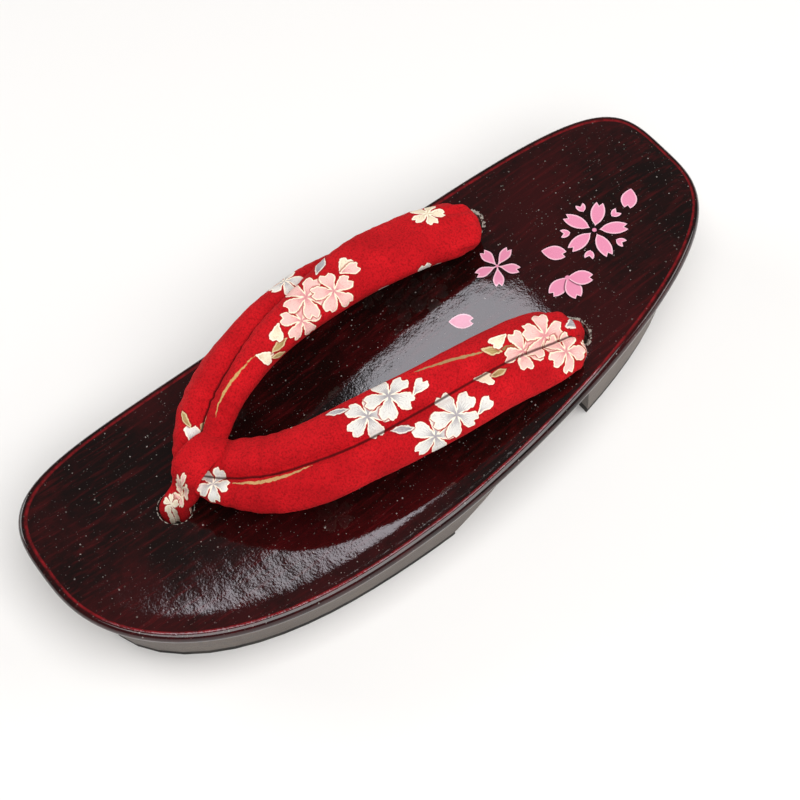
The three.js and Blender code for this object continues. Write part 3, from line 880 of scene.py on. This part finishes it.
# The print repeats one spray. Its places are whole millimetres from its own middle, the first running
# along its stem, and its tones are its own ink, cream, grey or tan.
SPRAY = (  # shape, along, across, size, turn, tone
    ("leaf", -14, 2, 7, 190, "tan"),
    ("petal", -12, -3, 6, 150, "cream"),
    ("blossom", -7, 2, 6.5, 20, "own"),
    ("blossom", 0, -2, 7.5, 50, "own"),
    ("blossom", 7, 3, 7, 5, "own"),
    ("leaf", 8, -5, 9, -30, "grey"),
    ("petal", 13, 0, 6.5, -20, "cream"),
    ("petal", 13, 0, 6.5, 20, "own"),
)
PAIR = (
    ("blossom", -4, 1, 7, 15, "own"),
    ("blossom", 4, -2, 7.5, 45, "own"),
    ("petal", 10, 1, 6, -25, "own"),
    ("leaf", -8, -4, 7, 200, "grey"),
)
SINGLE = (("blossom", 0, 0, 5.5, 20, "own"),)
BUD = (("petal", 0, 0, 6, 40, "own"), ("leaf", 4, 3, 6, 10, "tan"))

ARM_LENGTH = 144
CLOTH_LAYOUT = (  # arm, how far along it, across, heading, pattern, ink
    (0, 1 / 10, 0, -45, BUD, LILAC),
    (0, 1 / 3, 10, 20, BUD, CREAM),
    (0, 1 / 2, 8, -12, SPRAY, PINK),
    (0, 1 / 2, -8, 10, SINGLE, LILAC),
    (0, 5 / 6, -3, 0, SINGLE, CREAM),
    (0, 1 / 4, -22, 0, SINGLE, LILAC),
    (0, 2 / 3, -24, 0, SINGLE, PINK),
    (0, 3 / 4, 24, 0, PAIR, LILAC),
    (1, 1 / 8, 6, -20, SINGLE, LILAC),
    (1, 1 / 2, -6, 0, PAIR, LILAC),
    (1, 3 / 5, 8, 0, PAIR, LILAC),
    (1, 7 / 10, -1, -10, BUD, CREAM),
    (1, 7 / 8, -1, 20, SPRAY, PINK),
    (1, 1 / 3, -21, 10, PAIR, LILAC),
    (1, 3 / 4, -22, 0, SINGLE, PINK),
    (1, 1 / 3, 24, 0, SINGLE, PINK),
)
STEM_LAYOUT = (  # arm, from and to as the layout's places, width, ink
    (0, (1 / 8, 1), (1 / 6, 4), 1, "#d8c294"),
    (0, (1 / 6, 8), (1 / 3, 10), 0.8, "#c9a266"),
    (1, (1 / 6, 5), (1 / 3, 1), 1, "#c4a06c"),
    (1, (3 / 5, -12), (3 / 4, -6), 1, "#a8875c"),
    (1, (3 / 4, -6), (7 / 8, -1), 1.2, "#8f7448"),
)


def on_cloth(arm, along, across):
    return along * ARM_LENGTH, ARM_TOPS[arm] + across


def lay_print():
    """Every shape of every spray at its place on the cloth."""
    shapes = []
    for arm, along, across, heading, pattern, ink in CLOTH_LAYOUT:
        x, y = on_cloth(arm, along, across)
        tones = {"own": ink, "cream": CREAM, "grey": GREY, "tan": TAN}
        for shape, ahead, aside, size, turn, tone in pattern:
            spot = Vector((ahead, aside))
            spot.rotate(Matrix.Rotation(math.radians(heading), 2))
            shapes.append((shape, x + spot.x, y + spot.y, size, turn + heading, tones[tone]))
    return shapes


CLOTH_PRINT = lay_print()
CLOTH_STEMS = [
    (on_cloth(arm, *start), on_cloth(arm, *end), width, ink) for arm, start, end, width, ink in STEM_LAYOUT
]
# On the loop, places are the object's own, across and along the sandal.
LOOP_PRINT = (
    ("blossom", -8, -76, 3, 20, PINK),
    ("blossom", -9, -80, 2.5, 60, CREAM),
)

# The renderer takes about twenty shapes to a material, so the cloth is cut into bands along each arm,
# and each band's material prints the shapes that reach into it.
CLOTH_BANDS = (-40, 60, 78, 100, 200)


def print_near(arm, low, high):
    def on_arm(y):
        return (y > CLOTH_MAP / 2) == bool(arm)

    shapes = [s for s in CLOTH_PRINT if on_arm(s[2]) and low - s[3] < s[1] < high + s[3]]
    stems = [s for s in CLOTH_STEMS if on_arm(s[0][1]) and s[0][0] < high + 1 and s[1][0] > low - 1]
    return shapes, stems


def make_crepe(name, shapes, stems, chart=None):
    # Cotton crepe, piece-dyed red and screen-printed: matt, finely crinkled, with a soft nap.
    material, tree, surface, mm = new_material(
        name, Roughness=0.95, Specular_IOR_Level=0.12,
        Sheen_Weight=0.06, Sheen_Roughness=0.4, Sheen_Tint=linear("#ff6a60"),
    )
    cloud = add(tree, "TexNoise", mm, inputs={"Scale": 1 / 11, "Detail": 3})
    crinkle = add(tree, "TexNoise", mm, inputs={"Scale": 1.5, "Detail": 3, "Roughness": 0.7})
    tint = add(tree, "MapRange", cloud, 0.35, 0.68)
    colour = add(tree, "MixRGB", tint, linear("#b50f18"), linear("#cd151e"))
    # Painted shade: the red darkens in the hollows of the crinkle that also drives the bump.
    pit_shade = add(tree, "MapRange", crinkle, 0.36, 0.56, 0.55, 0)
    colour = add(tree, "MixRGB", pit_shade, colour, linear("#820a10"))
    # The printer's screen leaves an edge that wavers by a quarter of a millimetre.
    place = mm
    if chart:
        flat = add(tree, "UVMap", uv_map=chart)
        place = add(tree, "VectorMath", flat, inputs={"Scale": float(CLOTH_MAP)}, operation="SCALE")
    waver = add(tree, "TexNoise", mm, inputs={"Scale": 0.6, "Detail": 2}).outputs["Color"]
    waver = add(tree, "VectorMath", waver, (0.5, 0.5, 0.5), operation="SUBTRACT")
    waver = add(tree, "VectorMath", waver, inputs={"Scale": 1.1}, operation="SCALE")
    place = add(tree, "VectorMath", place, waver, operation="ADD")
    for start, end, width, ink in stems:
        colour = add(tree, "Group", colour, place, (*start, 0), (*end, 0), width, linear(ink), node_tree=STEM)
    colour = print_shapes(tree, colour, place, shapes, (0, 0) if chart else ORIGIN)
    # Painted shade: print and cloth darken in the hollows of the crinkle that also drives the bump.
    wear_and_shade = add(tree, "MapRange", crinkle, 0.34, 0.46, 0.3, 0)
    colour = add(tree, "MixRGB", wear_and_shade, colour, linear("#b98f88"), blend_type="MULTIPLY")
    if chart:
        # The seam down the top: painted shade in its crease, a dark line a millimetre wide.
        seam = add(tree, "SeparateXYZ", add(tree, "UVMap", uv_map="seam"))
        seam = add(tree, "Math", seam, operation="ABSOLUTE")
        seam_shade = add(tree, "MapRange", seam, 0.75, 0.15, 0, 0.88, interpolation_type="SMOOTHSTEP")
        colour = add(tree, "MixRGB", seam_shade, colour, linear("#3a0608"))
    tree.links.new(colour.outputs[0], surface.inputs["Base Color"])
    bump = add(tree, "Bump", inputs={"Height": crinkle, "Strength": 0.6, "Distance": 0.45 * MM})
    tree.links.new(bump.outputs[0], surface.inputs["Normal"])
    return material


# ---- build -----------------------------------------------------------------------------------------

lacquer = make_lacquer()
wood = make_wood()
rubber = make_rubber()
cloth = [
    [make_crepe(f"printed_cotton_crepe_{arm}_{band}", *print_near(arm, low, high), "cloth")
     for band, (low, high) in enumerate(zip(CLOTH_BANDS, CLOTH_BANDS[1:]))]
    for arm in (0, 1)
]
loop_crepe = make_crepe("printed_loop_crepe", LOOP_PRINT, ())


def settle(obj, node, slot, *materials):
    obj.data.materials.clear()
    for material in materials:
        obj.data.materials.append(material)
    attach(obj, "root")
    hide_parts(node)


board = make_board()
settle(board, "deck", "lacquered_board", lacquer)
base = copy_of("base", "wooden_base")
settle(base, "base", "stained_wood", wood)
for node in ("front_sole", "heel_sole"):
    settle(copy_of(node, node + "_rubber"), node, "sole_rubber", rubber)
strap = make_strap()
settle(strap, "strap", "printed_crepe", *cloth[0], *cloth[1])
chart = strap.data.uv_layers["cloth"].data
for polygon in strap.data.polygons:
    spot = sum((chart[i].uv for i in polygon.loop_indices), Vector((0, 0))) / polygon.loop_total * CLOTH_MAP
    band = bisect.bisect(CLOTH_BANDS, spot.x) - 1
    polygon.material_index = band + (len(cloth[0]) if spot.y > CLOTH_MAP / 2 else 0)
loop = make_loop(strap)
settle(loop, "front_loop", "printed_crepe", loop_crepe)

# ---- floor, light and camera -----------------------------------------------------------------------

bpy.ops.mesh.primitive_plane_add(size=6)
floor = bpy.context.object
floor.name = "floor"
floor.data.materials.append(
    new_material("pale_studio_paper", Base_Color=linear("#eeecea"), Roughness=0.9)[0]
)

world = bpy.data.worlds.new("soft_room")
world.use_nodes = True
world.node_tree.nodes["Background"].inputs[0].default_value = linear("#ffffff")
world.node_tree.nodes["Background"].inputs[1].default_value = 0.13
bpy.context.scene.world = world


def softbox(name, place, aim, width, height, power):
    """A rectangular light at a place in mm, facing another."""
    light = bpy.data.lights.new(name, "AREA")
    light.shape = "RECTANGLE"
    light.size, light.size_y = width * MM, height * MM
    light.energy = power
    lamp = bpy.data.objects.new(name, light)
    lamp.location = Vector(place) * MM
    lamp.rotation_euler = (Vector(place) - Vector(aim)).to_track_quat("Z", "Y").to_euler()
    bpy.context.scene.collection.objects.link(lamp)
    return lamp


softbox("overhead", (420, -60, 1050), (0, 0, 30), 900, 1100, 15)
softbox("left_fill", (-900, -500, 420), (0, 0, 30), 700, 500, 5)
softbox("heel_fill", (500, 900, 500), (0, 0, 30), 700, 500, 4)

# A bright card over the sandal, seen only as the grey gleam in the lacquer, with two corners cut off.
CARD_MIDDLE = Vector((-86.5, 40.5, 300))
CARD_SIZE = (93, 117)
CARD_CUTS = (  # a place on the cut, and which way is cut off
    ((-133, 78, 300), (-0.69, 0.72, 0)),
    ((-133, 8, 300), (-0.44, -0.9, 0)),
)
bpy.ops.mesh.primitive_grid_add(x_subdivisions=2, y_subdivisions=2, size=1)
card = bpy.context.object
mesh = edit(card)
for vert in mesh.verts:
    vert.co = (CARD_MIDDLE + Vector((vert.co.x * CARD_SIZE[0], vert.co.y * CARD_SIZE[1], 0))) * MM
bmesh.update_edit_mesh(card.data)
for corner, outwards in CARD_CUTS:
    bpy.ops.mesh.select_all(action="SELECT")
    bpy.ops.mesh.bisect(
        plane_co=Vector(corner) * MM, plane_no=outwards, clear_outer=True, use_fill=False
    )
done(card, "gleam_card", smooth=0)
gleam = bpy.data.materials.new("bright_card")
gleam.use_nodes = True
gleam.node_tree.nodes.remove(gleam.node_tree.nodes["Principled BSDF"])
glow = add(gleam.node_tree, "Emission", linear("#f2f0f8"), 7.4)
gleam.node_tree.links.new(glow.outputs[0], gleam.node_tree.nodes["Material Output"].inputs[0])
card.data.materials.append(gleam)
card.visible_camera = False
card.visible_diffuse = False
card.visible_shadow = False

bpy.context.scene.view_settings.view_transform = "Standard"
bpy.ops.object.camera_add()
camera = bpy.context.object
camera.data.sensor_width = 36
camera.data.lens = 78
eye = Vector((220, -145, 508))
back = (eye - Vector((0, 0, 20))).normalized()
right = Vector((-0.65, 0.53, 0.55)).cross(back).normalized()
turn = Matrix((right, back.cross(right), back)).transposed().to_4x4()
camera.matrix_world = Matrix.Translation((eye + ORIGIN) * MM) @ turn
camera.data.clip_start = 0.01
bpy.context.scene.camera = camera
